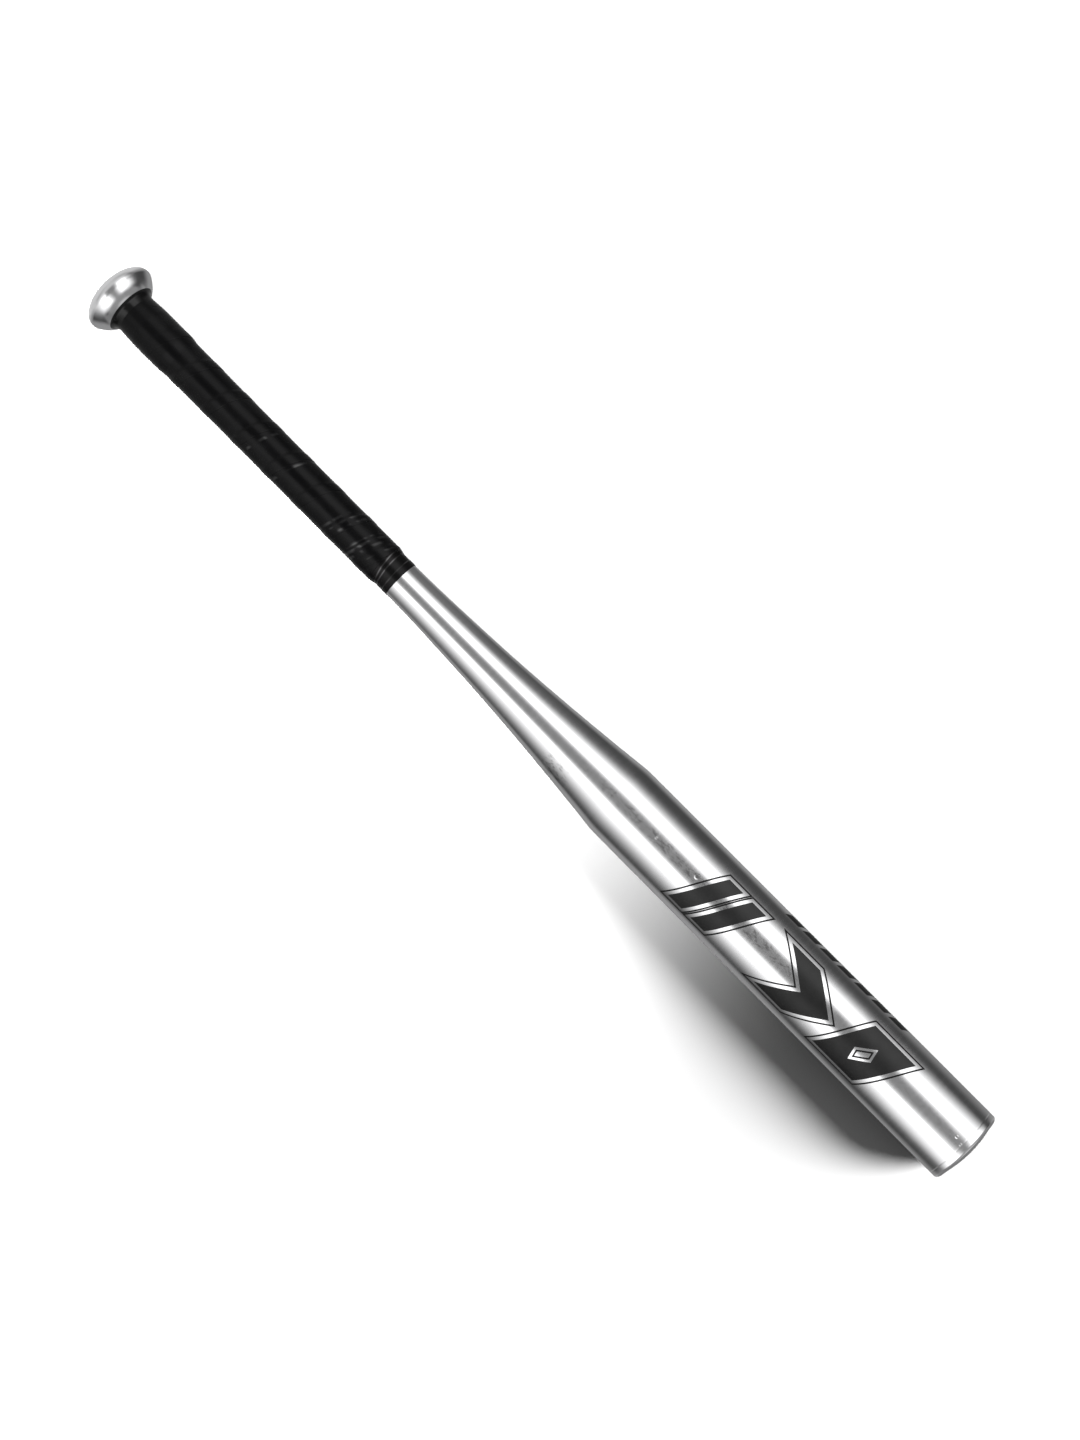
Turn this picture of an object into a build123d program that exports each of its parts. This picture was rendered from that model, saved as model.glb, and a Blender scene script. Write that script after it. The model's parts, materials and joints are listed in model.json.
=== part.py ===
"""A 32 inch aluminium baseball bat, as the separate pieces it comes apart into.

The bat lies along +X, knob at the -X end, with its axis one barrel radius above the ground.
The origin is under the middle of the bat, at ground level. Profiles are drawn as (along, radius)
from the knob's outer face and turned about the bat's axis. Sizes are in millimetres.
"""

import os
from math import sqrt

from build123d import *

# ---- driving dimensions -------------------------------------------------------------------
overall_length = 813.0          # 32 in
barrel_radius = 27.0            # 2 1/8 in barrel
handle_radius = 13.6

# tube
barrel_wall = 2.6
handle_wall = 2.4
tube_start = 6.0                # the tube's end inside the knob
handle_end = 290.0              # where the straight handle starts to swell
taper_points = [(331.0, 14.65), (385.0, 17.25), (438.5, 21.35)]
flare_end = (489.0, 26.35)      # the swelling meets the shoulder of the barrel here
flare_slope = (1.0, 0.11)
barrel_start = 498.0
mouth_corner = 2.5              # rounding of the rolled lip at the barrel's mouth
mouth_x = 809.7
lip_reach = 0.5                 # how far the lip hooks in over the cap
lip_depth = 1.8

# end cap
cap_skirt_length = 17.0
cap_wall = 2.2
cap_dome_thickness = 2.5
crease_depth = 0.3              # how far the dome's edge lies inside the mouth

# damper behind the cap
damper_length = 45.0
damper_gap = 4.0
damper_chamfer = 2.0

# knob
knob_radius = 26.4
knob_face_radius = 12.0         # flat part of the outer face
knob_face_slope = (0.32, 1.0)   # the side leaves the flat face with a soft edge
knob_shoulder = [(3.2, 20.9), (6.75, 24.95)]
knob_widest_x = 10.9
knob_mid = (14.2, 25.25)
knob_rim = (21.6, 18.95)
knob_rim_slope = (1.0, -1.35)
knob_groove = 0.35              # step between the knob's rim and the collar
vent_radius = 4.0
plug_head_radius = 6.0
plug_head_thickness = 1.2
plug_length = 5.0
plug_tip_radius = 0.8

# rubber collar and its thin sleeve under the grip
collar_length = 6.4
collar_small_radius = 15.2
collar_slopes = [(0.45, -1.0), (1.0, -0.05)]
sleeve_end_x = 68.0
sleeve_thickness = 1.0
sleeve_tip_thickness = 0.35

# grip and tape
grip_radius_knob = 15.95
grip_rise_x = 41.0              # the strip is at full thickness over the sleeve from here
grip_radius_step = 15.25
grip_radius = 14.95
grip_fall_x = 66.0              # and steps down past the sleeve's tip here
grip_step_x = 73.0
grip_even_x = 130.0
grip_bevel_x = 271.5
grip_end_x = 276.0
grip_edge_thickness = 0.3
tape_start_x = 273.2
tape_end_x = 289.3
tape_thickness = 0.25
tape_settle = 1.0               # length in which the tape comes down to the bare handle

# printed films on the barrel, as arcs about the bat's axis from straight up, +Y positive
film_thickness = 0.05
block_film_start, block_film_end = 556.0, 758.0
block_film_arc = (-68.0, 31.0)
stripe_film_start, stripe_film_end = 624.0, 732.0
stripe_film_arc = (54.0, 72.0)

# ---- shared frame ---------------------------------------------------------------------------
knob_face_x = -overall_length / 2
axis_start = (knob_face_x, 0, barrel_radius)
bat_axis = Axis(axis_start, (1, 0, 0))
profile_plane = Plane(origin=axis_start, x_dir=(1, 0, 0), z_dir=(0, -1, 0))

barrel_bore = barrel_radius - barrel_wall
handle_bore = handle_radius - handle_wall
lip_radius = barrel_bore - lip_reach
lip_back_x = mouth_x - lip_depth


def wall_at(x):
    """Wall thickness of the tube, which grows evenly from the handle to the barrel."""
    share = (x - handle_end) / (barrel_start - handle_end)
    return handle_wall + share * (barrel_wall - handle_wall)


# ---- tube: swaged from one length, with a lip rolled in at the barrel's mouth -----------------
with BuildPart() as bat_tube:
    with BuildSketch(profile_plane):
        with BuildLine():
            handle_outer = Line((tube_start, handle_radius), (handle_end, handle_radius))
            Spline(
                handle_outer @ 1,
                *taper_points,
                flare_end,
                tangents=[(1, 0), flare_slope],
            )
            shoulder = Spline(
                flare_end,
                (barrel_start, barrel_radius),
                tangents=[flare_slope, (1, 0)],
            )
            barrel_outer = Line(shoulder @ 1, (mouth_x - mouth_corner, barrel_radius))
            lip_round = RadiusArc(
                barrel_outer @ 1,
                (mouth_x, barrel_radius - mouth_corner),
                mouth_corner,
            )
            lip = Polyline(
                lip_round @ 1,
                (mouth_x, lip_radius),
                (lip_back_x, lip_radius),
                (lip_back_x, barrel_bore),
                (barrel_start, barrel_bore),
            )
            Spline(
                lip @ 1,
                (flare_end[0], flare_end[1] - wall_at(flare_end[0])),
                *[(x, r - wall_at(x)) for x, r in reversed(taper_points)],
                (handle_end, handle_bore),
                tangents=[(-1, 0), (-1, 0)],
            )
            Polyline(
                (handle_end, handle_bore),
                (tube_start, handle_bore),
                (tube_start, handle_radius),
            )
        make_face()
    revolve(axis=bat_axis)
bat_tube.part.label = "bat_tube"

# ---- end cap: a shallow dome on a skirt, trapped behind the lip -------------------------------
cap_skirt_x = lip_back_x - cap_skirt_length
cap_bore = barrel_bore - cap_wall
cap_edge_x = mouth_x - crease_depth
dome_rise = overall_length - cap_edge_x
dome_radius = (lip_radius**2 + dome_rise**2) / (2 * dome_rise)
inner_dome_radius = dome_radius - cap_dome_thickness
cap_inner_x = overall_length - cap_dome_thickness
cap_corner_x = cap_inner_x - inner_dome_radius + sqrt(inner_dome_radius**2 - cap_bore**2)

with BuildPart() as end_cap:
    with BuildSketch(profile_plane):
        with BuildLine():
            skirt = Polyline(
                (cap_corner_x, cap_bore),
                (cap_skirt_x, cap_bore),
                (cap_skirt_x, barrel_bore),
                (lip_back_x, barrel_bore),
                (lip_back_x, lip_radius),
                (cap_edge_x, lip_radius),
            )
            RadiusArc(skirt @ 1, (overall_length, 0), dome_radius)
            Line((overall_length, 0), (cap_inner_x, 0))
            RadiusArc((cap_inner_x, 0), skirt @ 0, -inner_dome_radius)
        make_face()
    revolve(axis=bat_axis)
end_cap.part.label = "end_cap"

# ---- damper: a foam plug that sits in the barrel behind the cap -------------------------------
damper_end_x = cap_skirt_x - damper_gap

with BuildPart() as barrel_damper:
    with BuildSketch(profile_plane):
        with BuildLine():
            Polyline(
                (damper_end_x - damper_length, 0),
                (damper_end_x - damper_length, barrel_bore),
                (damper_end_x, barrel_bore),
                (damper_end_x, 0),
                close=True,
            )
        make_face()
    revolve(axis=bat_axis)
    chamfer(barrel_damper.edges().filter_by(GeomType.CIRCLE), length=damper_chamfer)
barrel_damper.part.label = "barrel_damper"

# ---- knob: a cast ring with a closed outer face and a vent hole -------------------------------
with BuildPart() as knob:
    with BuildSketch(profile_plane):
        with BuildLine():
            Line((0, 0), (0, knob_face_radius))
            Spline(
                (0, knob_face_radius),
                *knob_shoulder,
                (knob_widest_x, knob_radius),
                tangents=[knob_face_slope, (1, 0)],
            )
            Spline(
                (knob_widest_x, knob_radius),
                knob_mid,
                knob_rim,
                tangents=[(1, 0), knob_rim_slope],
            )
            Polyline(
                knob_rim,
                (knob_rim[0] - knob_groove, knob_rim[1] - knob_groove),
                (knob_rim[0] - knob_groove, handle_radius),
                (tube_start, handle_radius),
                (tube_start, 0),
                (0, 0),
            )
        make_face()
    revolve(axis=bat_axis)
    with BuildSketch(Plane(origin=axis_start, z_dir=(1, 0, 0))):
        Circle(vent_radius)
    extrude(amount=tube_start, mode=Mode.SUBTRACT)
    with BuildSketch(Plane(origin=axis_start, z_dir=(1, 0, 0))):
        Circle(plug_head_radius)
    extrude(amount=plug_head_thickness, mode=Mode.SUBTRACT)
knob.part.label = "knob"

# ---- plug: a rubber button pressed into the knob's vent hole ----------------------------------
with BuildPart() as knob_plug:
    with BuildSketch(Plane(origin=axis_start, z_dir=(1, 0, 0))):
        Circle(plug_head_radius)
    extrude(amount=plug_head_thickness)
    with BuildSketch(Plane(origin=axis_start, z_dir=(1, 0, 0))):
        Circle(vent_radius)
    extrude(amount=plug_length)
    fillet(knob_plug.edges().group_by(Axis.X)[-1], radius=plug_tip_radius)
knob_plug.part.label = "knob_plug"

# ---- collar: a rubber flare against the knob, with a sleeve that the grip covers --------------
collar_x = knob_rim[0] - knob_groove
collar_radius = knob_rim[1] - knob_groove
collar_end_x = collar_x + collar_length

with BuildPart() as knob_collar:
    with BuildSketch(profile_plane):
        with BuildLine():
            edge = Line((collar_x, handle_radius), (collar_x, collar_radius))
            flare = Spline(
                edge @ 1,
                (collar_end_x, collar_small_radius),
                tangents=collar_slopes,
            )
            Polyline(
                flare @ 1,
                (collar_end_x, handle_radius + sleeve_thickness),
                (sleeve_end_x, handle_radius + sleeve_tip_thickness),
                (sleeve_end_x, handle_radius),
                (collar_x, handle_radius),
            )
        make_face()
    revolve(axis=bat_axis)
knob_collar.part.label = "knob_collar"

# ---- grip: the wound strip as one sleeve ------------------------------------------------------
with BuildPart() as grip_wrap:
    with BuildSketch(profile_plane):
        with BuildLine():
            inside = Polyline(
                (grip_end_x, handle_radius),
                (sleeve_end_x, handle_radius),
                (sleeve_end_x, handle_radius + sleeve_tip_thickness),
                (collar_end_x, handle_radius + sleeve_thickness),
                (collar_end_x, collar_small_radius),
            )
            over_sleeve = Polyline(
                inside @ 1,
                (grip_rise_x, grip_radius_knob),
                (grip_fall_x, grip_radius_knob),
                (grip_step_x, grip_radius_step),
            )
            Polyline(
                over_sleeve @ 1,
                (grip_even_x, grip_radius),
                (grip_bevel_x, grip_radius),
                (grip_end_x, handle_radius + grip_edge_thickness),
                (grip_end_x, handle_radius),
            )
        make_face()
    revolve(axis=bat_axis)
grip_wrap.part.label = "grip_wrap"

# ---- finishing tape: holds the grip's last turn down on the bare handle -----------------------
bevel_fall = (grip_radius - handle_radius - grip_edge_thickness) / (grip_end_x - grip_bevel_x)
tape_start_radius = grip_radius - bevel_fall * (tape_start_x - grip_bevel_x)
tape_edge_radius = handle_radius + grip_edge_thickness

with BuildPart() as finishing_tape:
    with BuildSketch(profile_plane):
        with BuildLine():
            Polyline(
                (tape_start_x, tape_start_radius),
                (tape_start_x, tape_start_radius + tape_thickness),
                (grip_end_x, tape_edge_radius + tape_thickness),
                (grip_end_x + tape_settle, handle_radius + tape_thickness),
                (tape_end_x, handle_radius + tape_thickness),
                (tape_end_x, handle_radius),
                (grip_end_x, handle_radius),
                (grip_end_x, tape_edge_radius),
                close=True,
            )
        make_face()
    revolve(axis=bat_axis)
finishing_tape.part.label = "finishing_tape"


# ---- printed films: thin skins on the barrel --------------------------------------------------
def film_plane(angle_deg):
    """Profile plane turned about the bat's axis, angle from straight up towards +Y."""
    return profile_plane.rotated((-angle_deg, 0, 0))


with BuildPart() as block_film:
    with BuildSketch(film_plane(block_film_arc[1])):
        with Locations((block_film_start, barrel_radius)):
            Rectangle(
                block_film_end - block_film_start,
                film_thickness,
                align=(Align.MIN, Align.MIN),
            )
    revolve(axis=bat_axis, revolution_arc=block_film_arc[1] - block_film_arc[0])
block_film.part.label = "block_film"

with BuildPart() as stripe_film:
    with BuildSketch(film_plane(stripe_film_arc[1])):
        with Locations((stripe_film_start, barrel_radius)):
            Rectangle(
                stripe_film_end - stripe_film_start,
                film_thickness,
                align=(Align.MIN, Align.MIN),
            )
    revolve(axis=bat_axis, revolution_arc=stripe_film_arc[1] - stripe_film_arc[0])
stripe_film.part.label = "stripe_film"

# ---- output -----------------------------------------------------------------------------------
os.makedirs("parts", exist_ok=True)
export_step(bat_tube.part, "parts/bat_tube.step")
export_step(end_cap.part, "parts/end_cap.step")
export_step(barrel_damper.part, "parts/barrel_damper.step")
export_step(knob.part, "parts/knob.step")
export_step(knob_plug.part, "parts/knob_plug.step")
export_step(knob_collar.part, "parts/knob_collar.step")
export_step(grip_wrap.part, "parts/grip_wrap.step")
export_step(finishing_tape.part, "parts/finishing_tape.step")
export_step(block_film.part, "parts/block_film.step")
export_step(stripe_film.part, "parts/stripe_film.step")
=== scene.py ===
"""Looks of a polished aluminium baseball bat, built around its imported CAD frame.

Places along the bat are given in millimetres from the knob's outer face, as in the CAD source,
and angles about the bat's axis in degrees from straight up, positive towards +Y.
"""

import json
import math
from contextlib import contextmanager

import bmesh
import bpy
import numpy as np
from mathutils import Matrix, Vector, noise


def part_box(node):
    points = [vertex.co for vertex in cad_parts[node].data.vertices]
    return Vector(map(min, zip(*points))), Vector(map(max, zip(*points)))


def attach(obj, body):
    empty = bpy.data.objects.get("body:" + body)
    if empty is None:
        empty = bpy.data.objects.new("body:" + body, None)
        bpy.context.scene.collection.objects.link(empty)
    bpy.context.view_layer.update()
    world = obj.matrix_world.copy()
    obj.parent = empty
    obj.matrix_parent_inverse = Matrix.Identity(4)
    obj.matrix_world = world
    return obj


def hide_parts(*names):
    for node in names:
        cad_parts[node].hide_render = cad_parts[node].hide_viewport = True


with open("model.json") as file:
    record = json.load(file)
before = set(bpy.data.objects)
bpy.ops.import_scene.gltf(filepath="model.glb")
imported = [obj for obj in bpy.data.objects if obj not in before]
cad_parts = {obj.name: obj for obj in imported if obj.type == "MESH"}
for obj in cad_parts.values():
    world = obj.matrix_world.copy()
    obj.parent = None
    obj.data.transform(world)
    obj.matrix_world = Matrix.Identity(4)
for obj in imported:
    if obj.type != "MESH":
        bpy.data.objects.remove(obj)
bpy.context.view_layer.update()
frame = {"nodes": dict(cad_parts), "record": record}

MM = 0.001
nodes = frame["nodes"]
axis_height = frame["record"]["mounts"][0]["pos_m"][2]
knob_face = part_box("knob")[0].x
barrel_radius = frame["record"]["mounts"][0]["dims"]["r_mm"] * MM


# ---- places ---------------------------------------------------------------------------------
def along(x_mm):
    """Row-frame x of a place measured from the knob's outer face."""
    return knob_face + x_mm * MM


def on_bat(x, radius, angle):
    """Point at row-frame x, at a radius from the bat's axis, at an angle in radians from up."""
    return (x, radius * math.sin(angle), axis_height + radius * math.cos(angle))


def smoothstep(low, high, value):
    t = np.clip((value - low) / (high - low), 0.0, 1.0)
    return t * t * (3.0 - 2.0 * t)


def bell(centre, width, value):
    return np.exp(-(((value - centre) / width) ** 2))


def outline(node, step_mm=5.0):
    """Outer outline of a turned CAD node: places in mm from the knob face and radii in mm.

    Each stretch of step_mm gives the widest vertex in it whose normal faces away from the axis.
    """
    co = np.array([v.co for v in nodes[node].data.vertices])
    normal = np.array([v.normal for v in nodes[node].data.vertices])
    facing_out = normal[:, 1] * co[:, 1] + normal[:, 2] * (co[:, 2] - axis_height) > 0.0
    co = co[facing_out]
    x = (co[:, 0] - knob_face) / MM
    r = np.hypot(co[:, 1], co[:, 2] - axis_height) / MM
    found = []
    for start in np.arange(x.min(), x.max(), step_mm):
        inside = np.flatnonzero((x >= start - 1e-3) & (x <= start + step_mm + 1e-3))
        if len(inside):
            widest = inside[np.argmax(r[inside])]
            found.append((x[widest], r[widest]))
    found = sorted(set(found))
    return np.array([p[0] for p in found]), np.array([p[1] for p in found])


def cubic_through(xs, rs, at):
    """Natural smooth curve (clamped cubic spline with level ends) through the points."""
    h = np.diff(xs)
    n = len(xs)
    system = np.zeros((n, n))
    right = np.zeros(n)
    slope = np.diff(rs) / h
    system[0, 0], system[0, 1], right[0] = 2 * h[0], h[0], 6 * slope[0]
    system[-1, -1], system[-1, -2], right[-1] = 2 * h[-1], h[-1], -6 * slope[-1]
    for i in range(1, n - 1):
        system[i, i - 1], system[i, i], system[i, i + 1] = h[i - 1], 2 * (h[i - 1] + h[i]), h[i]
        right[i] = 6 * (slope[i] - slope[i - 1])
    bend = np.linalg.solve(system, right)
    i = np.clip(np.searchsorted(xs, at) - 1, 0, n - 2)
    a, b = xs[i + 1] - at, at - xs[i]
    hi = h[i]
    return (
        bend[i] * a**3 / (6 * hi)
        + bend[i + 1] * b**3 / (6 * hi)
        + (rs[i] / hi - bend[i] * hi / 6) * a
        + (rs[i + 1] / hi - bend[i + 1] * hi / 6) * b
    )


# ---- meshes -----------------------------------------------------------------------------------
def linked(name, mesh, material):
    """Object of a mesh and its material, in the scene."""
    mesh.materials.append(material)
    obj = bpy.data.objects.new(name, mesh)
    bpy.context.scene.collection.objects.link(obj)
    return obj


def add_piece(name, mesh, material, replaced=()):
    """Makes a mesh a piece of the bat, riding on its one body."""
    piece = linked(name, mesh, material)
    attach(piece, "root")
    if replaced:
        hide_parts(*replaced)


@contextmanager
def editing(mesh):
    """The mesh as a bmesh, written back at the end of the block."""
    bm = bmesh.new()
    bm.from_mesh(mesh)
    yield bm
    bm.to_mesh(mesh)
    bm.free()


def grid_mesh(name, points, close_u=True):
    """Quad mesh over a grid of points [u][v], closed round v, and round u unless told not to."""
    count_u, count_v = points.shape[:2]
    faces = []
    for u in range(count_u if close_u else count_u - 1):
        row, next_row = u * count_v, (u + 1) % count_u * count_v
        for v in range(count_v):
            after = (v + 1) % count_v
            faces.append((row + v, row + after, next_row + after, next_row + v))
    mesh = bpy.data.meshes.new(name)
    mesh.from_pydata(points.reshape(-1, 3).tolist(), [], faces)
    mesh.update()
    with editing(mesh) as bm:
        bmesh.ops.recalc_face_normals(bm, faces=bm.faces)
    return mesh


def cap_ends(mesh):
    """Closes the open ends of a tube or strip."""
    with editing(mesh) as bm:
        bmesh.ops.holes_fill(bm, edges=[e for e in bm.edges if e.is_boundary])
        bmesh.ops.recalc_face_normals(bm, faces=bm.faces)


def shade(mesh, sharp_degrees):
    """Smooth shading, with edges sharper than the given angle kept crisp."""
    mesh.shade_smooth()
    with editing(mesh) as bm:
        for edge in bm.edges:
            if len(edge.link_faces) == 2 and edge.calc_face_angle(0) > math.radians(sharp_degrees):
                edge.smooth = False


def rub(mesh, amounts):
    """Stores how shiny each point has been rubbed, 0 to 1, for the material to read."""
    mesh.attributes.new("rubbed", "FLOAT", "POINT").data.foreach_set("value", amounts)


def ripple(x_mm, angle, seed, length_mm=40.0, round_scale=0.8):
    """Smooth noise on the bat's surface, about -1 to 1, that closes round the axis."""
    y, z = math.sin(angle) * round_scale, math.cos(angle) * round_scale
    return noise.noise(Vector((x_mm / length_mm + seed, y, z)))


# ---- shader helper ----------------------------------------------------------------------------
class Shader:
    """A Principled material and the few node patterns that the bat's finishes share."""

    def __init__(self, name, base, roughness, metallic=0.0, **sockets):
        self.material = bpy.data.materials.new(name)
        self.material.use_nodes = True
        self.tree = self.material.node_tree
        self.bsdf = self.tree.nodes["Principled BSDF"]
        self.bsdf.inputs["Base Color"].default_value = (*base, 1.0)
        self.bsdf.inputs["Roughness"].default_value = roughness
        self.bsdf.inputs["Metallic"].default_value = metallic
        for key, value in sockets.items():
            self.bsdf.inputs[key.replace("_", " ")].default_value = value
        coordinates = self.tree.nodes.new("ShaderNodeTexCoord")
        self.place = coordinates.outputs["Object"]

    def link(self, output, node, name):
        self.tree.links.new(output, node.inputs[name])

    def stretched(self, x, y, z):
        """The place scaled along each row axis, in cells a metre."""
        mapping = self.tree.nodes.new("ShaderNodeMapping")
        mapping.inputs["Scale"].default_value = (x, y, z)
        self.link(self.place, mapping, "Vector")
        return mapping.outputs["Vector"]

    def noise(self, vector, scale=1.0, detail=3.0, roughness=0.55):
        node = self.tree.nodes.new("ShaderNodeTexNoise")
        node.inputs["Scale"].default_value = scale
        node.inputs["Detail"].default_value = detail
        node.inputs["Roughness"].default_value = roughness
        self.link(vector, node, "Vector")
        return node.outputs["Fac"]

    def cells(self, scale, smooth=0.6):
        """Rounded pebbles, 0 at their middles."""
        node = self.tree.nodes.new("ShaderNodeTexVoronoi")
        node.feature = "SMOOTH_F1"
        node.inputs["Scale"].default_value = scale
        node.inputs["Smoothness"].default_value = smooth
        self.link(self.place, node, "Vector")
        return node.outputs["Distance"]

    def spread(self, value, low, high, to_low, to_high):
        """Value from low..high mapped smoothly to to_low..to_high."""
        node = self.tree.nodes.new("ShaderNodeMapRange")
        node.interpolation_type = "SMOOTHSTEP"
        for name, number in zip(
            ("From Min", "From Max", "To Min", "To Max"), (low, high, to_low, to_high)
        ):
            node.inputs[name].default_value = number
        self.link(value, node, "Value")
        return node.outputs["Result"]

    def math(self, operation, a, b):
        node = self.tree.nodes.new("ShaderNodeMath")
        node.operation = operation
        for i, value in enumerate((a, b)):
            if isinstance(value, (int, float)):
                node.inputs[i].default_value = value
            else:
                self.tree.links.new(value, node.inputs[i])
        return node.outputs[0]

    def mix(self, factor, a, b):
        node = self.tree.nodes.new("ShaderNodeMix")
        node.data_type = "RGBA"
        colours = [s for s in node.inputs if s.type == "RGBA"]
        for socket, colour in zip(colours, (a, b)):
            if isinstance(colour, tuple):
                socket.default_value = (*colour, 1.0)
            else:
                self.tree.links.new(colour, socket)
        self.tree.links.new(factor, node.inputs[0])
        return next(s for s in node.outputs if s.type == "RGBA")

    def bump(self, height, distance, after=None):
        node = self.tree.nodes.new("ShaderNodeBump")
        node.inputs["Distance"].default_value = distance
        self.link(height, node, "Height")
        if after is not None:
            self.link(after, node, "Normal")
        return node.outputs["Normal"]

    def spot(self, centre, radius):
        """1 in a round spot about a place in the row frame, 0 outside it."""
        node = self.tree.nodes.new("ShaderNodeVectorMath")
        node.operation = "DISTANCE"
        self.tree.links.new(self.place, node.inputs[0])
        node.inputs[1].default_value = centre
        return self.spread(node.outputs["Value"], 0.3 * radius, radius, 1.0, 0.0)

    def place_parts(self):
        """The place's x and y, its height above the bat's axis and its distance from the axis."""
        split = self.tree.nodes.new("ShaderNodeSeparateXYZ")
        self.link(self.place, split, "Vector")
        x, y = split.outputs["X"], split.outputs["Y"]
        height = self.math("SUBTRACT", split.outputs["Z"], axis_height)
        squares = self.math("ADD", self.math("POWER", y, 2.0), self.math("POWER", height, 2.0))
        return x, y, height, self.math("SQRT", squares, 0.0)

    def amount(self, name):
        """A value that the mesh carries at its points."""
        node = self.tree.nodes.new("ShaderNodeAttribute")
        node.attribute_name = name
        return node.outputs["Fac"]

    def turned_tangent(self):
        """Tangent that runs round the bat's axis, for polishing lines."""
        node = self.tree.nodes.new("ShaderNodeTangent")
        node.direction_type = "RADIAL"
        node.axis = "X"
        self.link(node.outputs["Tangent"], self.bsdf, "Tangent")

    def finish(self, colour=None, roughness=None, normal=None):
        for output, name in ((colour, "Base Color"), (roughness, "Roughness"), (normal, "Normal")):
            if output is not None:
                self.link(output, self.bsdf, name)
        return self.material


# ---- materials --------------------------------------------------------------------------------
DENTS = (            # place along the barrel in mm, angle in degrees, radius in mm
    (568.0, -7.0, 2.4), (798.0, -6.0, 1.3), (803.0, -10.0, 1.0), (532.0, -9.0, 1.0),
)
DENT_DEPTH = 0.3 * MM
SMUDGE_AT, SMUDGE_OUT = 452.0, 21.0          # low smudge: its place and its distance from the axis, mm
SMUDGE_ANGLE, SMUDGE_RADIUS = -60.0, 17.0
# Colour of the dirt, and of the painted shade in the dents.
DIRT_AND_SHADE_COLOUR = (0.3, 0.3, 0.3)


def handling_marks(s):
    """Small dents, with painted shade darkening them, and dirt in a band along the barrel's top and
    low on the taper.
    """
    dents = 0.0
    for x_mm, degrees, radius_mm in DENTS:
        dent = s.spot(on_bat(along(x_mm), barrel_radius, math.radians(degrees)), radius_mm * MM)
        dents = s.math("MAXIMUM", dents, dent)
    x, y, height, _ = s.place_parts()
    band = s.spread(height, 0.003, 0.013, 0.0, 1.0)
    for place, low, high, to_low, to_high in (
        (y, -0.0085, -0.006, 0.0, 1.0),
        (y, -0.002, 0.0005, 1.0, 0.0),
        (x, along(440.0), along(530.0), 0.0, 1.0),
        (x, along(640.0), along(690.0), 1.0, 0.2),
    ):
        band = s.math("MULTIPLY", band, s.spread(place, low, high, to_low, to_high))
    smudge_middle = on_bat(along(SMUDGE_AT), SMUDGE_OUT * MM, math.radians(SMUDGE_ANGLE))
    patches = s.math("MAXIMUM", band, s.spot(smudge_middle, SMUDGE_RADIUS * MM))
    grit = s.noise(s.stretched(200, 420, 420), detail=4.0, roughness=0.7)
    dirt_and_shade = s.math("MULTIPLY", patches, s.spread(grit, 0.46, 0.68, 0.0, 0.75))
    # Painted shade: the dents' colour is taken 70% of the way to the dirt colour.
    return dents, s.math("MAXIMUM", dirt_and_shade, s.math("MULTIPLY", dents, 0.7))


def polished_aluminium():
    s = Shader("polished_aluminium", (0.87, 0.87, 0.88), 0.15, 1.0, Anisotropic=0.5)
    s.turned_tangent()
    lines = s.noise(s.stretched(900, 12, 12), detail=4.0)
    fine_lines = s.noise(s.stretched(4200, 30, 30), detail=2.0)
    smudge = s.noise(s.stretched(28, 60, 60), detail=5.0, roughness=0.65)
    streaks = s.spread(lines, 0.35, 0.7, 0.0, 0.05)
    haze = s.math("ADD", streaks, s.spread(smudge, 0.5, 0.8, 0.12, 0.2))
    tint = s.mix(s.spread(smudge, 0.55, 0.85, 0.0, 1.0), (0.88, 0.88, 0.89), (0.78, 0.775, 0.77))
    normal = s.bump(fine_lines, 0.0000012)
    normal = s.bump(lines, 0.000003, after=normal)
    dents, dirt_and_shade = handling_marks(s)
    normal = s.bump(s.math("MULTIPLY", dents, -1.0), DENT_DEPTH, after=normal)
    # The colour is darkened by dirt and by painted shade in the dents.
    return s.finish(colour=s.mix(dirt_and_shade, tint, DIRT_AND_SHADE_COLOUR), roughness=haze, normal=normal)


def cast_aluminium():
    s = Shader("cast_aluminium", (0.84, 0.84, 0.85), 0.17, 1.0)
    skin = s.noise(s.stretched(500, 500, 500), detail=4.0)
    cloud = s.noise(s.stretched(90, 90, 90), detail=3.0)
    normal = s.bump(skin, 0.000004)
    return s.finish(
        colour=s.mix(cloud, (0.80, 0.80, 0.81), (0.88, 0.88, 0.89)),
        roughness=s.spread(cloud, 0.3, 0.7, 0.14, 0.2),
        normal=normal,
    )


def turned_cap():
    s = Shader("turned_cap", (0.74, 0.74, 0.74), 0.3, 1.0)
    *_, from_axis = s.place_parts()
    combine = s.tree.nodes.new("ShaderNodeCombineXYZ")
    s.link(from_axis, combine, "X")
    rings = s.noise(combine.outputs["Vector"], scale=2600.0, detail=2.0)
    return s.finish(
        colour=s.mix(rings, (0.62, 0.62, 0.62), (0.8, 0.8, 0.8)),
        roughness=s.spread(rings, 0.3, 0.7, 0.24, 0.36),
        normal=s.bump(rings, 0.000006),
    )


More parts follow.
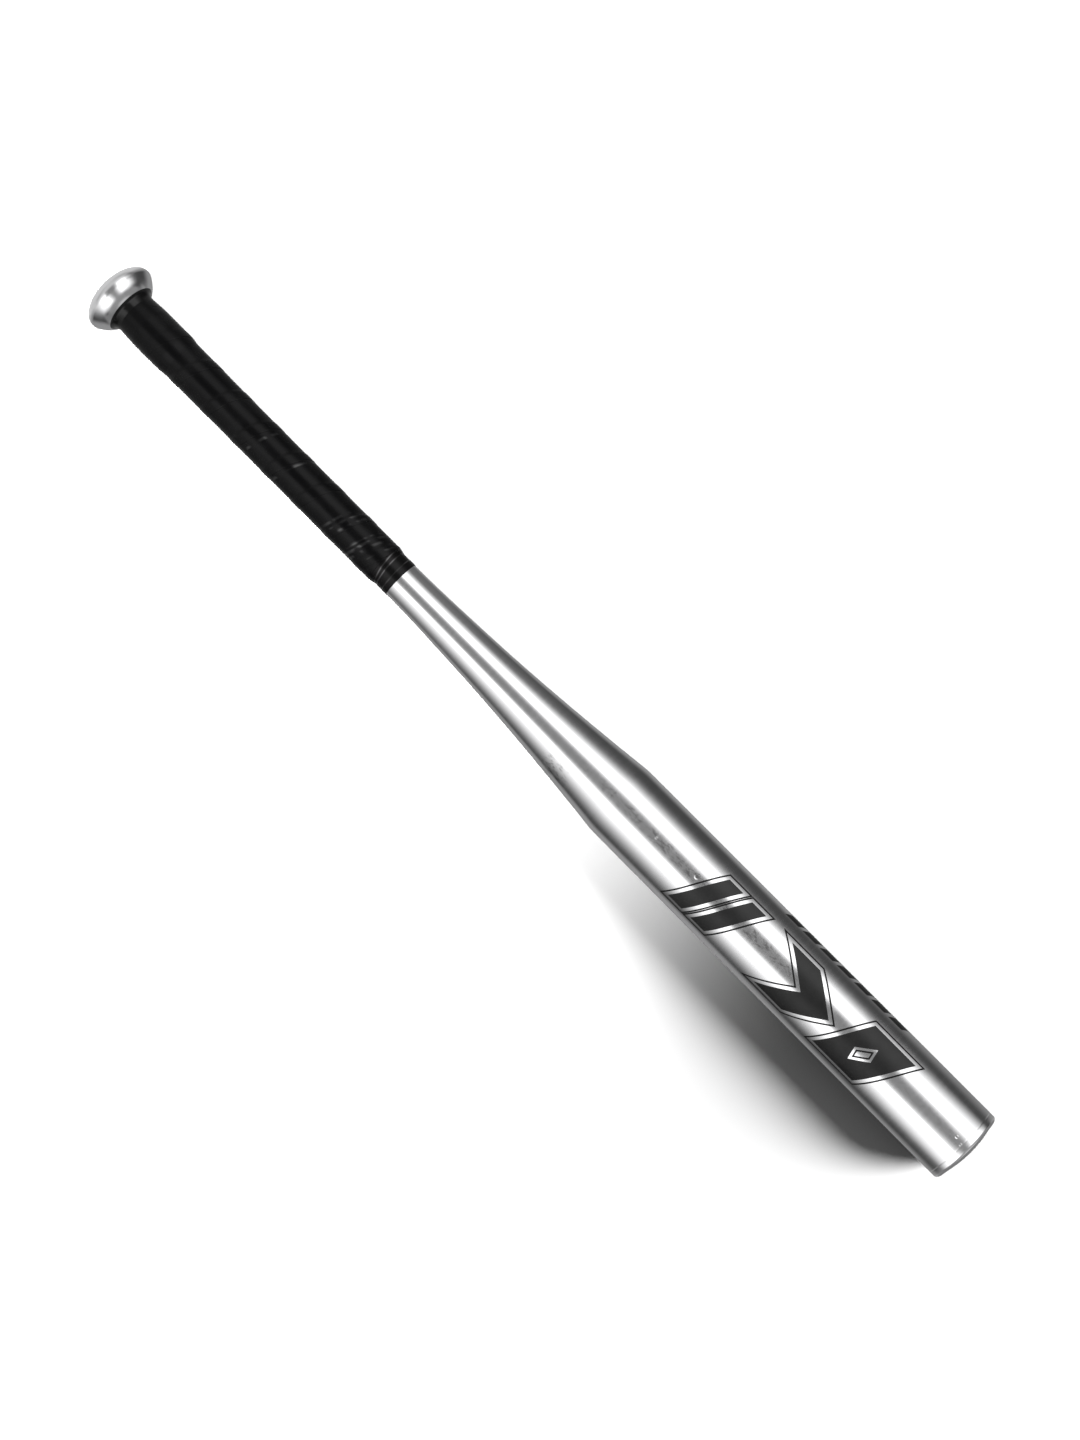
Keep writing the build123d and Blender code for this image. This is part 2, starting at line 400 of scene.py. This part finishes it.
def black_leather():
    s = Shader(
        "black_leather", (0.001, 0.001, 0.0011), 0.24, Specular_IOR_Level=0.15, Coat_Roughness=0.12,
        Coat_IOR=1.75,
    )
    grain = s.cells(1500.0)
    creases = s.noise(s.stretched(420, 420, 420), detail=5.0, roughness=0.6)
    wear = s.noise(s.stretched(45, 70, 70), detail=4.0)
    dark, worn = (0.0007, 0.0007, 0.0008), (0.002, 0.002, 0.0021)
    s.link(s.amount("rubbed"), s.bsdf, "Coat Weight")
    return s.finish(
        colour=s.mix(s.spread(wear, 0.45, 0.8, 0.0, 1.0), dark, worn),
        roughness=s.spread(wear, 0.3, 0.75, 0.18, 0.28),
        normal=s.bump(creases, 0.00003, after=s.bump(grain, 0.00003)),
    )


def black_vinyl():
    s = Shader(
        "black_vinyl", (0.001, 0.001, 0.001), 0.22, Specular_IOR_Level=0.18, Coat_Roughness=0.1,
        Coat_IOR=1.8,
    )
    stretch = s.noise(s.stretched(1300, 120, 120), detail=3.0)
    s.link(s.amount("rubbed"), s.bsdf, "Coat Weight")
    return s.finish(
        roughness=s.spread(stretch, 0.3, 0.7, 0.17, 0.27),
        normal=s.bump(stretch, 0.00002),
    )


def glossy_rubber():
    s = Shader("glossy_rubber", (0.0012, 0.0012, 0.0012), 0.12, Specular_IOR_Level=0.32)
    skin = s.noise(s.stretched(600, 600, 600), detail=3.0)
    return s.finish(roughness=s.spread(skin, 0.3, 0.7, 0.1, 0.18), normal=s.bump(skin, 0.000006))


def matte_rubber():
    s = Shader("matte_rubber", (0.02, 0.02, 0.02), 0.65)
    skin = s.noise(s.stretched(1200, 1200, 1200), detail=4.0)
    return s.finish(roughness=s.spread(skin, 0.3, 0.7, 0.55, 0.75), normal=s.bump(skin, 0.00003))


def closed_cell_foam():
    s = Shader("closed_cell_foam", (0.2, 0.2, 0.21), 0.9)
    pores = s.cells(700.0, smooth=0.3)
    return s.finish(
        colour=s.mix(pores, (0.16, 0.16, 0.17), (0.26, 0.26, 0.27)),
        normal=s.bump(pores, 0.0004),
    )


def ink(name, shade_of_black, roughness):
    s = Shader(name, (shade_of_black,) * 3, roughness, Specular_IOR_Level=0.28)
    flow = s.noise(s.stretched(160, 160, 160), detail=4.0)
    screen = s.noise(s.stretched(2400, 2400, 2400), detail=2.0)
    lighter = shade_of_black * 1.35
    return s.finish(
        colour=s.mix(flow, (shade_of_black,) * 3, (lighter,) * 3),
        roughness=s.spread(flow, 0.3, 0.7, roughness - 0.05, roughness + 0.07),
        normal=s.bump(screen, 0.000004),
    )


# ---- bat tube, in mm ----------------------------------------------------------------------------
TAPER_START = 290.0
WAVINESS = 0.02       # depth of the slight unevenness that polishing by hand leaves
CORNER = 2.5          # rounding of the rolled mouth
CREASE_FROM_MOUTH = 5.8
CREASE_DEPTH = 0.07   # depth of the rolling tool's mark
CREASE_HALF = 0.6
CREASE_SLOPE = 0.03   # how fast the radius falls across the mark
END_DROP = 0.05       # the rolled end's radius is less by this
LIP_RADIUS, LIP_DEPTH = 23.9, 1.8
BARREL_WALL, HANDLE_WALL = 2.6, 2.4
SHELL_SIDES = 256


def surface_radius(x_mm, radius, angle):
    """The tube's outer radius with its waviness, which fades out on the handle."""
    beyond_handle = smoothstep(TAPER_START, TAPER_START + 40.0, x_mm)
    return radius - WAVINESS + WAVINESS * ripple(x_mm, angle, 3.0) * beyond_handle


def make_bat_shell(material):
    low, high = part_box("bat_tube")
    start, mouth = (low.x - knob_face) / MM, (high.x - knob_face) / MM
    xs, rs = outline("bat_tube", 6.0)
    handle = rs[1]
    barrel = barrel_radius / MM
    on_taper = (rs > handle + 0.15) & (rs < barrel - 0.02)
    taper_end = xs[np.argmax(rs > barrel - 0.005)]
    xs = np.concatenate(([TAPER_START], xs[on_taper], [taper_end]))
    rs = np.concatenate(([handle], rs[on_taper], [barrel]))

    outer = [(x, handle) for x in np.linspace(start, TAPER_START, 12)]
    taper = np.arange(TAPER_START + 3.0, taper_end, 3.0)
    outer += list(zip(taper, cubic_through(xs, rs, taper)))
    crease = mouth - CREASE_FROM_MOUTH
    outer += [(x, barrel) for x in np.linspace(taper_end + 1.0, crease - 1.0, 80)]
    for x in np.linspace(-CREASE_HALF, CREASE_HALF, 9):
        drop = CREASE_SLOPE * (x + CREASE_HALF)
        outer.append((crease + x, barrel - CREASE_DEPTH * bell(0.0, 0.25, x) - drop))
    outer.append((mouth - CORNER, barrel - END_DROP))
    for turn in np.radians(np.linspace(0.0, 90.0, 9))[1:]:
        x, r = CORNER * math.sin(turn), CORNER * (math.cos(turn) - 1.0)
        outer.append((mouth - CORNER + x, barrel - END_DROP + r))
    inner = [
        (mouth, LIP_RADIUS),
        (mouth - LIP_DEPTH, LIP_RADIUS),
        (mouth - LIP_DEPTH, barrel - BARREL_WALL),
    ]
    inner += [(x, r - BARREL_WALL) for x, r in reversed(outer) if x < mouth - 40.0][::4]
    inner.append((start, handle - HANDLE_WALL))

    turns = [2 * math.pi * i / SHELL_SIDES for i in range(SHELL_SIDES)]
    rows = [
        [on_bat(along(x), surface_radius(x, r, angle) * MM, angle) for angle in turns]
        for x, r in outer
    ]
    rows += [[on_bat(along(x), r * MM, angle) for angle in turns] for x, r in inner]
    mesh = grid_mesh("bat_shell", np.array(rows))
    shade(mesh, 30.0)
    add_piece("bat_shell", mesh, material, ["bat_tube"])


# ---- grip: one strip wound on with overlapping turns --------------------------------------------
TURN = 30.0          # advance of the strip a turn, mm
OVERLAP = 7.0        # width of a turn that lies over the next one
STRIP_WIDTH = TURN + OVERLAP
SEAM_AT = 151.5      # a turn's barrel-side edge crosses the line at SEAM_ANGLE degrees here
SEAM_ANGLE = -8.0
GRIP_ROOM = 1.5      # depth below the grip's CAD outline that the strip lies in
EDGE_ROUNDING = 0.6
STEPS_A_TURN = 144
FOLDS = (            # place at SEAM_ANGLE, width and height of the small folds, mm
    (155.8, 0.8, 0.07), (184.1, 0.9, 0.08), (212.0, 1.0, 0.02), (231.0, 1.2, 0.045),
    (235.0, 1.0, 0.055), (239.3, 1.2, 0.05), (252.8, 1.0, 0.055), (256.0, 0.9, 0.08),
    (260.0, 1.1, 0.065), (266.8, 0.9, 0.05),
)
FIRST_TURNS = (1.44, 0.08, 0.06)  # thickness of the strip, its showing edge and its tucked edge
LATER_TURNS = (1.30, 0.20, 0.24)  # the same where it is skived less, so its seams show more
SKIVED_LESS = (48.0, 78.0)        # where the first turns change into the later ones
UNEVEN, UNEVEN_FROM = 0.05, (215.0, 245.0)  # height of the unevenness, and where it sets in
GAP = 0.02           # between a turn and what it lies on
END_MARGIN = 0.8
SETTLE_LENGTH = 4.5  # the strip settles over this length before its end
SETTLED = 0.3        # part of its height that is left at the end


def folds_at(x, angle):
    """Height of the small folds at places x round one angle: they run along with the strip and
    die out before the bat's underside."""
    aside = (math.degrees(angle) - SEAM_ANGLE + 180.0) % 360.0 - 180.0
    turned_back = x - TURN * aside / 360.0
    height = np.zeros(len(x))
    for place, width, tall in FOLDS:
        fade = max(0.0, 0.5 + 1.5 * ripple(place, angle, place, round_scale=3.0))
        height += tall * fade * bell(place, width, turned_back)
    return height * (1.0 - smoothstep(95.0, 150.0, abs(aside)))


def make_grip_strip(material):
    xs, rs = outline("grip_wrap", 2.0)
    start, end = xs.min(), xs.max()
    sleeve_xs, sleeve_rs = outline("knob_collar", 4.0)
    across = np.concatenate((
        np.linspace(0.0, OVERLAP, 6)[:-1],
        np.linspace(OVERLAP, TURN - 3.0, 22)[:-1],
        np.linspace(TURN - 3.0, STRIP_WIDTH - EDGE_ROUNDING, 12)[:-1],
        STRIP_WIDTH - EDGE_ROUNDING * (1.0 - np.sin(np.radians(np.linspace(0.0, 90.0, 5)))),
    ))
    over = across - TURN
    on_next = smoothstep(0.0, OVERLAP, over)
    tuck = smoothstep(0.0, OVERLAP, across)
    at_edge = np.clip((across - STRIP_WIDTH + EDGE_ROUNDING) / EDGE_ROUNDING, 0.0, 1.0)
    round_off = 0.75 * (1.0 - np.sqrt(1.0 - at_edge**2))

    first_turn = math.floor((start - SEAM_AT) / TURN)
    turns = math.ceil((end + STRIP_WIDTH - SEAM_AT) / TURN) + 1 - first_turn
    rings, rubbed = [], []
    for step in range(turns * STEPS_A_TURN):
        edge = SEAM_AT + TURN * (first_turn + step / STEPS_A_TURN)
        angle = 2.0 * math.pi * step / STEPS_A_TURN + math.radians(SEAM_ANGLE)
        knob_side = edge - STRIP_WIDTH
        if edge < start + END_MARGIN or knob_side > end - END_MARGIN:
            continue
        x = np.clip(knob_side + across, start, end)
        surface = np.interp(x, xs, rs)
        on_sleeve = np.interp(x, sleeve_xs, sleeve_rs, right=0.0)
        floor = np.maximum(surface - GRIP_ROOM, on_sleeve + 0.03)
        squeeze = (surface - floor) / GRIP_ROOM

        later = smoothstep(*SKIVED_LESS, x)
        thick, edge_thick, tucked_thick = (
            a + (b - a) * later for a, b in zip(FIRST_TURNS, LATER_TURNS)
        )
        lift = tucked_thick + (thick - tucked_thick) * on_next + GAP
        lift *= smoothstep(-2.5, 0.2, over)
        body = tucked_thick + (thick - tucked_thick) * tuck - (thick - edge_thick) * on_next
        height = (lift + body - edge_thick * round_off) * squeeze
        settle = smoothstep(end, end - SETTLE_LENGTH, x)
        flattened = SETTLED + (1.0 - SETTLED) * settle
        folds = folds_at(x, angle) * settle
        uneven = np.array([UNEVEN * ripple(px, angle, 11.0, 7.0) for px in x])
        uneven *= smoothstep(*UNEVEN_FROM, x) * settle
        top = floor + height * flattened + folds + uneven
        bottom = np.minimum(floor + lift * squeeze * flattened - GAP, top - GAP)
        ring = [on_bat(along(px), pr * MM, angle) for px, pr in zip(x, top)]
        ring += [on_bat(along(px), pr * MM, angle) for px, pr in zip(x[::-1], bottom[::-1])]
        rings.append(ring)
        rubbed += list(np.clip(20.0 * folds - 0.3, 0.0, 0.8)) + [0.0] * len(x)
    mesh = grid_mesh("grip_strip", np.array(rings), close_u=False)
    cap_ends(mesh)
    shade(mesh, 50.0)
    rub(mesh, rubbed)
    add_piece("grip_strip", mesh, material, ["grip_wrap"])


# ---- finishing tape, in mm ----------------------------------------------------------------------
TAPE_SIDES = 192
TAPE_LAYER = 0.14     # thickness of one layer
CUT_LEAN = 1.6        # how far the cut end leans back towards the bat's underside
PULLS = ((1.7, 2.0), (4.8, 1.2))  # each wrinkle's distance from the tape's start, and its lean
PULL_HEIGHT, PULL_WIDTH = 0.07, 0.42
SECOND_PULL = 0.08    # height of the wrinkle along the outer layer's edge


def make_tape_band(material):
    low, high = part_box("finishing_tape")
    start, end = (low.x - knob_face) / MM, (high.x - knob_face) / MM
    xs, rs = outline("finishing_tape", 0.5)
    share = np.linspace(0.0, 1.0, 76)
    rings, rubbed = [], []
    for i in range(TAPE_SIDES):
        angle = 2 * math.pi * i / TAPE_SIDES
        aside = angle - math.radians(SEAM_ANGLE)
        level, lean = math.cos(aside), math.sin(aside)
        cut = end - CUT_LEAN * (1.0 - level) + 0.12 * ripple(0.0, angle, 5.0)
        first_edge = start + 0.25 * (1.0 - level)
        places = first_edge + (cut - first_edge) * share
        second_edge = cut - 4.6 - 0.5 * math.sin(angle + 0.7)
        layer = TAPE_LAYER * smoothstep(second_edge - 0.12, second_edge + 0.12, places)
        second_pull = max(0.0, ripple(0.0, angle, 8.0, round_scale=2.0) + 0.45)
        pull = SECOND_PULL * second_pull * bell(second_edge, 0.4, places)
        for distance, leaning in PULLS:
            pull += PULL_HEIGHT * bell(start + distance - leaning * lean, PULL_WIDTH, places)
        uneven = np.array([0.03 * ripple(x, angle, 21.0, 3.0) for x in places])
        surface = np.interp(places, xs, rs)
        top = surface - TAPE_LAYER + layer + pull + uneven
        under = np.minimum(surface - TAPE_LAYER - 0.1, top - 0.05)
        ring = [on_bat(along(x), r * MM, angle) for x, r in zip(places, top)]
        ring += [on_bat(along(x), r * MM, angle) for x, r in zip(places[::-1], under[::-1])]
        rings.append(ring)
        rubbed += list(np.clip(18.0 * pull - 0.1, 0.0, 1.0)) + [0.0] * len(places)
    mesh = grid_mesh("tape_band", np.array(rings))
    shade(mesh, 45.0)
    rub(mesh, rubbed)
    add_piece("tape_band", mesh, material, ["finishing_tape"])


# ---- prints -------------------------------------------------------------------------------------
SLANT = 0.55          # how far a printed edge leans along the bat, for its height
PRINT_MIDDLE = -18.0  # angle of the print's centre line
PRINT_HALF = 22.9     # half its height round the barrel, mm
BARE_GAP = 2.3        # bare metal between a fill and its outline
HOLE_GAP = 1.6        # bare metal inside a hole's edge
LINE = 1.1            # width of the outlines
INK_THICKNESS = 0.03
INK_CLEARANCE = 0.008
INK_STEP_ROUND, INK_STEP_ALONG = 1.0, 4.0  # spacing of the cuts that let the ink bend
STRIPE_ANGLE = 63.0
DASHES, DASH_GAP, DASH_HALF = 7, 3.6, 3.9  # how many, the gap between them and half their height


def leaned(x, slant, outline_points):
    """Points given as (along, up) on upright axes, leaned over and moved to x."""
    return [(x + px + slant * py, py) for px, py in outline_points]


def grown(polygon, distance):
    """The polygon with each edge moved outwards by distance, corners mitred."""
    count = len(polygon)
    area = sum(
        polygon[i][0] * polygon[(i + 1) % count][1] - polygon[(i + 1) % count][0] * polygon[i][1]
        for i in range(count)
    )
    side = 1.0 if area > 0 else -1.0
    moved = []
    for i in range(count):
        before, here, after = (Vector(polygon[(i + k) % count]) for k in (-1, 0, 1))
        in_dir, out_dir = (here - before).normalized(), (after - here).normalized()
        in_normal = Vector((in_dir.y, -in_dir.x)) * side
        out_normal = Vector((out_dir.y, -out_dir.x)) * side
        mitre = (in_normal + out_normal).normalized()
        moved.append(tuple(here + mitre * distance / max(0.3, mitre.dot(in_normal))))
    return moved


def printed(name, loops, middle_angle, material, replaced=()):
    """Ink inside the first loop and outside the others, wrapped on the barrel as a thin skin."""
    bm = bmesh.new()
    for loop in loops:
        corners = [bm.verts.new((x, y, 0.0)) for x, y in loop]
        for i in range(len(corners)):
            bm.edges.new((corners[i], corners[(i + 1) % len(corners)]))
    bmesh.ops.triangle_fill(bm, use_beauty=True, use_dissolve=False, edges=bm.edges[:])
    cuts = ((INK_STEP_ROUND, Vector((0, 1, 0))), (INK_STEP_ALONG, Vector((1, 0, 0))))
    for step, direction in cuts:
        reach = [v.co.dot(direction) for v in bm.verts]
        for place in np.arange(math.floor(min(reach)), max(reach), step):
            geometry = bm.verts[:] + bm.edges[:] + bm.faces[:]
            bmesh.ops.bisect_plane(bm, geom=geometry, plane_co=direction * place, plane_no=direction)
    barrel = barrel_radius / MM
    bottom = {}
    for v in bm.verts[:]:
        x, y = v.co.x, v.co.y
        angle = math.radians(middle_angle) + y / barrel
        radius = surface_radius(x, barrel, angle)
        bottom[v] = on_bat(along(x), (radius + INK_CLEARANCE) * MM, angle)
        v.co = on_bat(along(x), (radius + INK_CLEARANCE + INK_THICKNESS) * MM, angle)
    top_faces = bm.faces[:]
    rim = [e for e in bm.edges if e.is_boundary]
    lower = {v: bm.verts.new(co) for v, co in bottom.items()}
    for face in top_faces:
        bm.faces.new([lower[v] for v in reversed(face.verts)])
    for edge in rim:
        a, b = edge.verts
        bm.faces.new((a, b, lower[b], lower[a]))
    bmesh.ops.recalc_face_normals(bm, faces=bm.faces)
    mesh = bpy.data.meshes.new(name)
    bm.to_mesh(mesh)
    bm.free()
    shade(mesh, 30.0)
    add_piece(name, mesh, material, replaced)


def make_prints(fill, line):
    """Bars, a chevron and a leaned block, each with a bare margin and a thin outline, and a
    dashed stripe."""
    h = PRINT_HALF - BARE_GAP - LINE
    blocks = {           # place, slant, filled shapes and holes in them
        "twin_bars": (590.0, SLANT, [
            [(-17.0, -h), (-4.5, -h), (-4.5, h), (-17.0, h)],
            [(3.5, -h), (16.0, -h), (16.0, h), (3.5, h)],
        ], []),
        "chevron": (669.0, 0.0, [
            [(-29.0, -h), (-4.0, -h), (22.0, 0.0), (-4.0, h), (-29.0, h), (-3.0, 0.0)],
        ], []),
        "block": (721.5, SLANT, [
            [(-18.2, -h), (17.2, -h), (17.2, h), (-18.2, h)],
        ], [[(-7.5, 0.0), (-0.5, -9.0), (6.5, 0.0), (-0.5, 9.0)]]),
    }
    replaced = ["block_film"]
    for name, (x, slant, shapes, holes) in blocks.items():
        holes = [leaned(x, slant, hole) for hole in holes]
        for i, shape in enumerate(shapes, 1):
            loop = leaned(x, slant, shape)
            printed(f"print_{name}_fill_{i}", [loop] + holes, PRINT_MIDDLE, fill, replaced)
            replaced = []
            ring = [grown(loop, BARE_GAP + LINE), grown(loop, BARE_GAP)]
            printed(f"print_{name}_line_{i}", ring, PRINT_MIDDLE, line)
        for i, hole in enumerate(holes, 1):
            ring = [grown(hole, -HOLE_GAP), grown(hole, -HOLE_GAP - LINE)]
            printed(f"print_{name}_hole_{i}", ring, PRINT_MIDDLE, line)

    low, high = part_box("stripe_film")
    start, end = (low.x - knob_face) / MM, (high.x - knob_face) / MM
    length = (end - start - 2 * DASH_HALF * SLANT - DASH_GAP * (DASHES - 1)) / DASHES
    ends, sides = (-length / 2, length / 2), (-DASH_HALF, DASH_HALF)
    corners = [(ends[0], sides[0]), (ends[1], sides[0]), (ends[1], sides[1]), (ends[0], sides[1])]
    for i in range(DASHES):
        middle = start + DASH_HALF * SLANT + length / 2 + i * (length + DASH_GAP)
        dash = leaned(middle, SLANT, corners)
        replaced = ["stripe_film"] if i == 0 else []
        printed(f"print_dash_{i + 1}", [dash], STRIPE_ANGLE, line, replaced)


# ---- studio -------------------------------------------------------------------------------------
FLOOR_HALF = 8.0
TENT_RADIUS = 1.6
TENT_HALF_LENGTH = 2.5
TENT_SIDES = 60
BOX_STRENGTH = 1.5
WORLD_LIGHT = 0.12    # strength of the world's light on the floor and other dull surfaces
KEY_STRENGTH = 7.5
KEY_SPREAD = 27.0     # how wide the key light looks, in degrees: it sets the shadow's softness
KEY_FROM = (1.0, 0.69, 0.64)
FILL_POWER = 210.0
FILL_CONE = 33.0
FILL_PLACE, FILL_FROM = (-0.3, -0.9, 1.5), (0.0, -0.85, 1.5)


def make_floor():
    mesh = bpy.data.meshes.new("floor")
    corners = [(x * FLOOR_HALF, y * FLOOR_HALF, 0) for x, y in ((-1, -1), (1, -1), (1, 1), (-1, 1))]
    mesh.from_pydata(corners, [], [(0, 1, 2, 3)])
    material = Shader("pale_floor", (0.9, 0.9, 0.9), 0.9, Specular_IOR_Level=0.0).material
    floor = linked("floor", mesh, material)
    floor.visible_glossy = False


def tent_glow(s):
    """Strength of the tent's light: two long soft boxes above the bat, one on each side, over a
    dim ground, with pale walls at both ends. Angles are in degrees from straight up."""
    x, y, height, from_axis = s.place_parts()
    turn = s.math("MULTIPLY", s.math("ARCTAN2", y, height), 180.0 / math.pi)
    off_top = s.math("ABSOLUTE", turn, 0.0)

    def ramp(angle, dark, bright, power):
        """0 at one angle to 1 at another, with a soft foot."""
        node = s.tree.nodes.new("ShaderNodeMapRange")
        node.inputs["From Min"].default_value = dark
        node.inputs["From Max"].default_value = bright
        s.link(angle, node, "Value")
        return s.math("POWER", node.outputs["Result"], power)

    def product(*factors):
        result = factors[0]
        for factor in factors[1:]:
            result = s.math("MULTIPLY", result, factor)
        return result

    before_end = s.spread(x, 0.35, 0.8, 1.0, 0.0)
    past_end = s.spread(x, 0.35, 0.8, 0.0, 1.0)
    skewed = s.math("SUBTRACT", turn, s.spread(x, -0.1, 0.15, 4.0, 0.0))
    plus_box = product(ramp(turn, -12.0, 15.0, 4.0), ramp(turn, 105.0, 38.0, 4.0))
    minus_box = product(ramp(skewed, -18.0, -40.0, 4.0), ramp(skewed, -128.0, -58.0, 2.0))
    boxes = product(
        s.math("ADD", plus_box, minus_box),
        s.spread(x, -1.7, -0.3, 0.0, BOX_STRENGTH),
        before_end,
    )

    # Past the barrel's end the boxes are wider, and rounded off towards the end wall.
    off_middle = s.math("ABSOLUTE", s.math("ADD", turn, 12.0), 0.0)
    rounding = s.math(
        "ADD",
        s.math("POWER", s.math("DIVIDE", x, 1.92), 2.0),
        s.math("POWER", s.math("DIVIDE", off_middle, 98.0), 2.0),
    )
    far_boxes = product(
        s.math("ADD", s.spread(turn, -8.0, 20.0, 0.0, 1.0), s.spread(turn, -16.0, -44.0, 0.0, 1.0)),
        s.spread(rounding, 0.45, 1.08, BOX_STRENGTH, 0.0),
        past_end,
    )

    over_bat = s.spread(x, 1.0, 1.4, 1.0, 0.0)
    overhead = product(s.spread(off_top, 30.0, 75.0, 0.24, 0.06), over_bat)
    far_wall = product(s.spread(x, 1.0, 1.4, 0.0, 1.0), s.spread(off_top, 85.0, 115.0, 0.28, 0.2))
    glow = product(s.spread(x, 2.3, 2.45, 0.0, 0.35), s.spread(from_axis, 0.4, 1.2, 1.0, 0.0))
    near_wall = s.spread(x, -1.5, -0.8, 0.36, 0.0)
    by_barrel = s.spread(x, 0.1, 0.4, 0.0, 1.0)
    by_handle = s.math("SUBTRACT", 1.0, by_barrel)
    plus_ground = s.math(
        "ADD",
        product(s.spread(turn, 95.0, 138.0, 0.0, 0.17), by_barrel),
        product(s.spread(turn, 108.0, 138.0, 0.0, 0.25), by_handle),
    )
    minus_ground = s.math(
        "ADD",
        product(s.spread(turn, -126.0, -158.0, 0.0, 0.2), by_barrel),
        product(s.spread(turn, -122.0, -142.0, 0.0, 0.25), by_handle),
    )
    ground = product(s.math("ADD", plus_ground, minus_ground), s.spread(x, 0.7, 1.1, 1.0, 0.0))
    low_sides = s.spread(off_top, 65.0, 85.0, 0.0, 1.0)
    beside_knob = product(s.spread(x, -0.8, -0.25, 0.22, 0.0), low_sides)
    far_sides = product(
        s.spread(x, 0.5, 0.7, 0.0, 1.0), s.spread(off_top, 92.0, 112.0, 0.0, 0.16), over_bat,
    )
    light = s.math("MAXIMUM", ground, beside_knob)
    for part in (boxes, far_boxes, overhead, far_wall, glow, near_wall, far_sides):
        light = s.math("ADD", light, part)
    return light


def make_light_tent():
    """A closed tube of light about the bat's axis, seen only in reflections."""
    turns = [2.0 * math.pi * i / TENT_SIDES for i in range(TENT_SIDES)]
    places = np.linspace(-TENT_HALF_LENGTH, TENT_HALF_LENGTH, 5)
    points = np.array([[on_bat(x, TENT_RADIUS, angle) for angle in turns] for x in places])
    mesh = grid_mesh("light_tent", points, close_u=False)
    cap_ends(mesh)
    s = Shader("tent_light", (0.0, 0.0, 0.0), 1.0)
    emission = s.tree.nodes.new("ShaderNodeEmission")
    # The floor and other dull surfaces aren't lit by what the metal mirrors of the tent.
    path = s.tree.nodes.new("ShaderNodeLightPath")
    mirrored_only = s.math("LESS_THAN", path.outputs["Diffuse Depth"], 0.5)
    s.link(s.math("MULTIPLY", tent_glow(s), mirrored_only), emission, "Strength")
    s.link(emission.outputs["Emission"], s.tree.nodes["Material Output"], "Surface")
    tent = linked("light_tent", mesh, s.material)
    for ray in ("camera", "diffuse", "transmission", "shadow", "volume_scatter"):
        setattr(tent, f"visible_{ray}", False)


def make_world():
    """A white world, which the camera sees as it is and which lights things only faintly."""
    world = bpy.data.worlds.new("studio")
    bpy.context.scene.world = world
    world.use_nodes = True
    tree = world.node_tree
    background = tree.nodes["Background"]
    background.inputs["Color"].default_value = (1.0, 1.0, 1.0, 1.0)
    seen = tree.nodes.new("ShaderNodeLightPath").outputs["Is Camera Ray"]
    strength = tree.nodes.new("ShaderNodeMapRange")
    strength.inputs["To Min"].default_value = WORLD_LIGHT
    strength.inputs["To Max"].default_value = 1.0
    tree.links.new(seen, strength.inputs["Value"])
    tree.links.new(strength.outputs["Result"], background.inputs["Strength"])
    world.cycles_visibility.glossy = False


def make_lights():
    """One sun, whose shadow falls beside the barrel, and a spot that lightens the handle's."""
    key = bpy.data.lights.new("key", "SUN")
    key.energy = KEY_STRENGTH
    key.angle = math.radians(KEY_SPREAD)
    aim_light(key, (0.0, 0.0, 0.0), KEY_FROM)

    fill = bpy.data.lights.new("handle_fill", "SPOT")
    fill.energy = FILL_POWER
    fill.spot_size = math.radians(FILL_CONE)
    fill.spot_blend = 0.5
    fill.shadow_soft_size = 0.1
    aim_light(fill, FILL_PLACE, FILL_FROM)


def aim_light(light, place, back):
    """Adds a light at a place, shining away from the direction back."""
    obj = bpy.data.objects.new(light.name, light)
    bpy.context.scene.collection.objects.link(obj)
    obj.location = place
    obj.rotation_euler = Vector(back).to_track_quat("Z", "Y").to_euler()
    obj.visible_glossy = False


FOCUS_MM = 420.6                 # the place on the bat that the camera looks at
CAMERA_DISTANCE = 1.663
CAMERA_LENS = 63.1
LOOK_BACK = (0.1426, -0.139, 0.980)
LOOK_RIGHT = (0.698, 0.716, 0.0)


def make_camera():
    """The view that shows the bat from above, with the barrel's end nearest."""
    focus = Vector((along(FOCUS_MM), 0.0, axis_height))
    back = Vector(LOOK_BACK).normalized()
    up = back.cross(Vector(LOOK_RIGHT)).normalized()
    right = up.cross(back).normalized()
    camera = bpy.data.cameras.new("camera")
    camera.lens = CAMERA_LENS
    camera.clip_start, camera.clip_end = 0.05, 60.0
    obj = bpy.data.objects.new("camera", camera)
    bpy.context.scene.collection.objects.link(obj)
    turn = Matrix((right, up, back)).transposed()
    obj.matrix_world = Matrix.Translation(focus + back * CAMERA_DISTANCE) @ turn.to_4x4()
    bpy.context.scene.camera = obj


# ---- the bat ------------------------------------------------------------------------------------
def dress(node, material):
    nodes[node].data.materials.clear()
    nodes[node].data.materials.append(material)


make_camera()
make_floor()
make_light_tent()
make_world()
make_lights()
bpy.context.scene.view_settings.view_transform = "Standard"

make_bat_shell(polished_aluminium())
make_grip_strip(black_leather())
make_tape_band(black_vinyl())
make_prints(ink("ink_fill", 0.012, 0.36), ink("ink_line", 0.002, 0.42))
dress("end_cap", turned_cap())
dress("knob", cast_aluminium())
dress("knob_plug", matte_rubber())
dress("knob_collar", glossy_rubber())
dress("barrel_damper", closed_cell_foam())
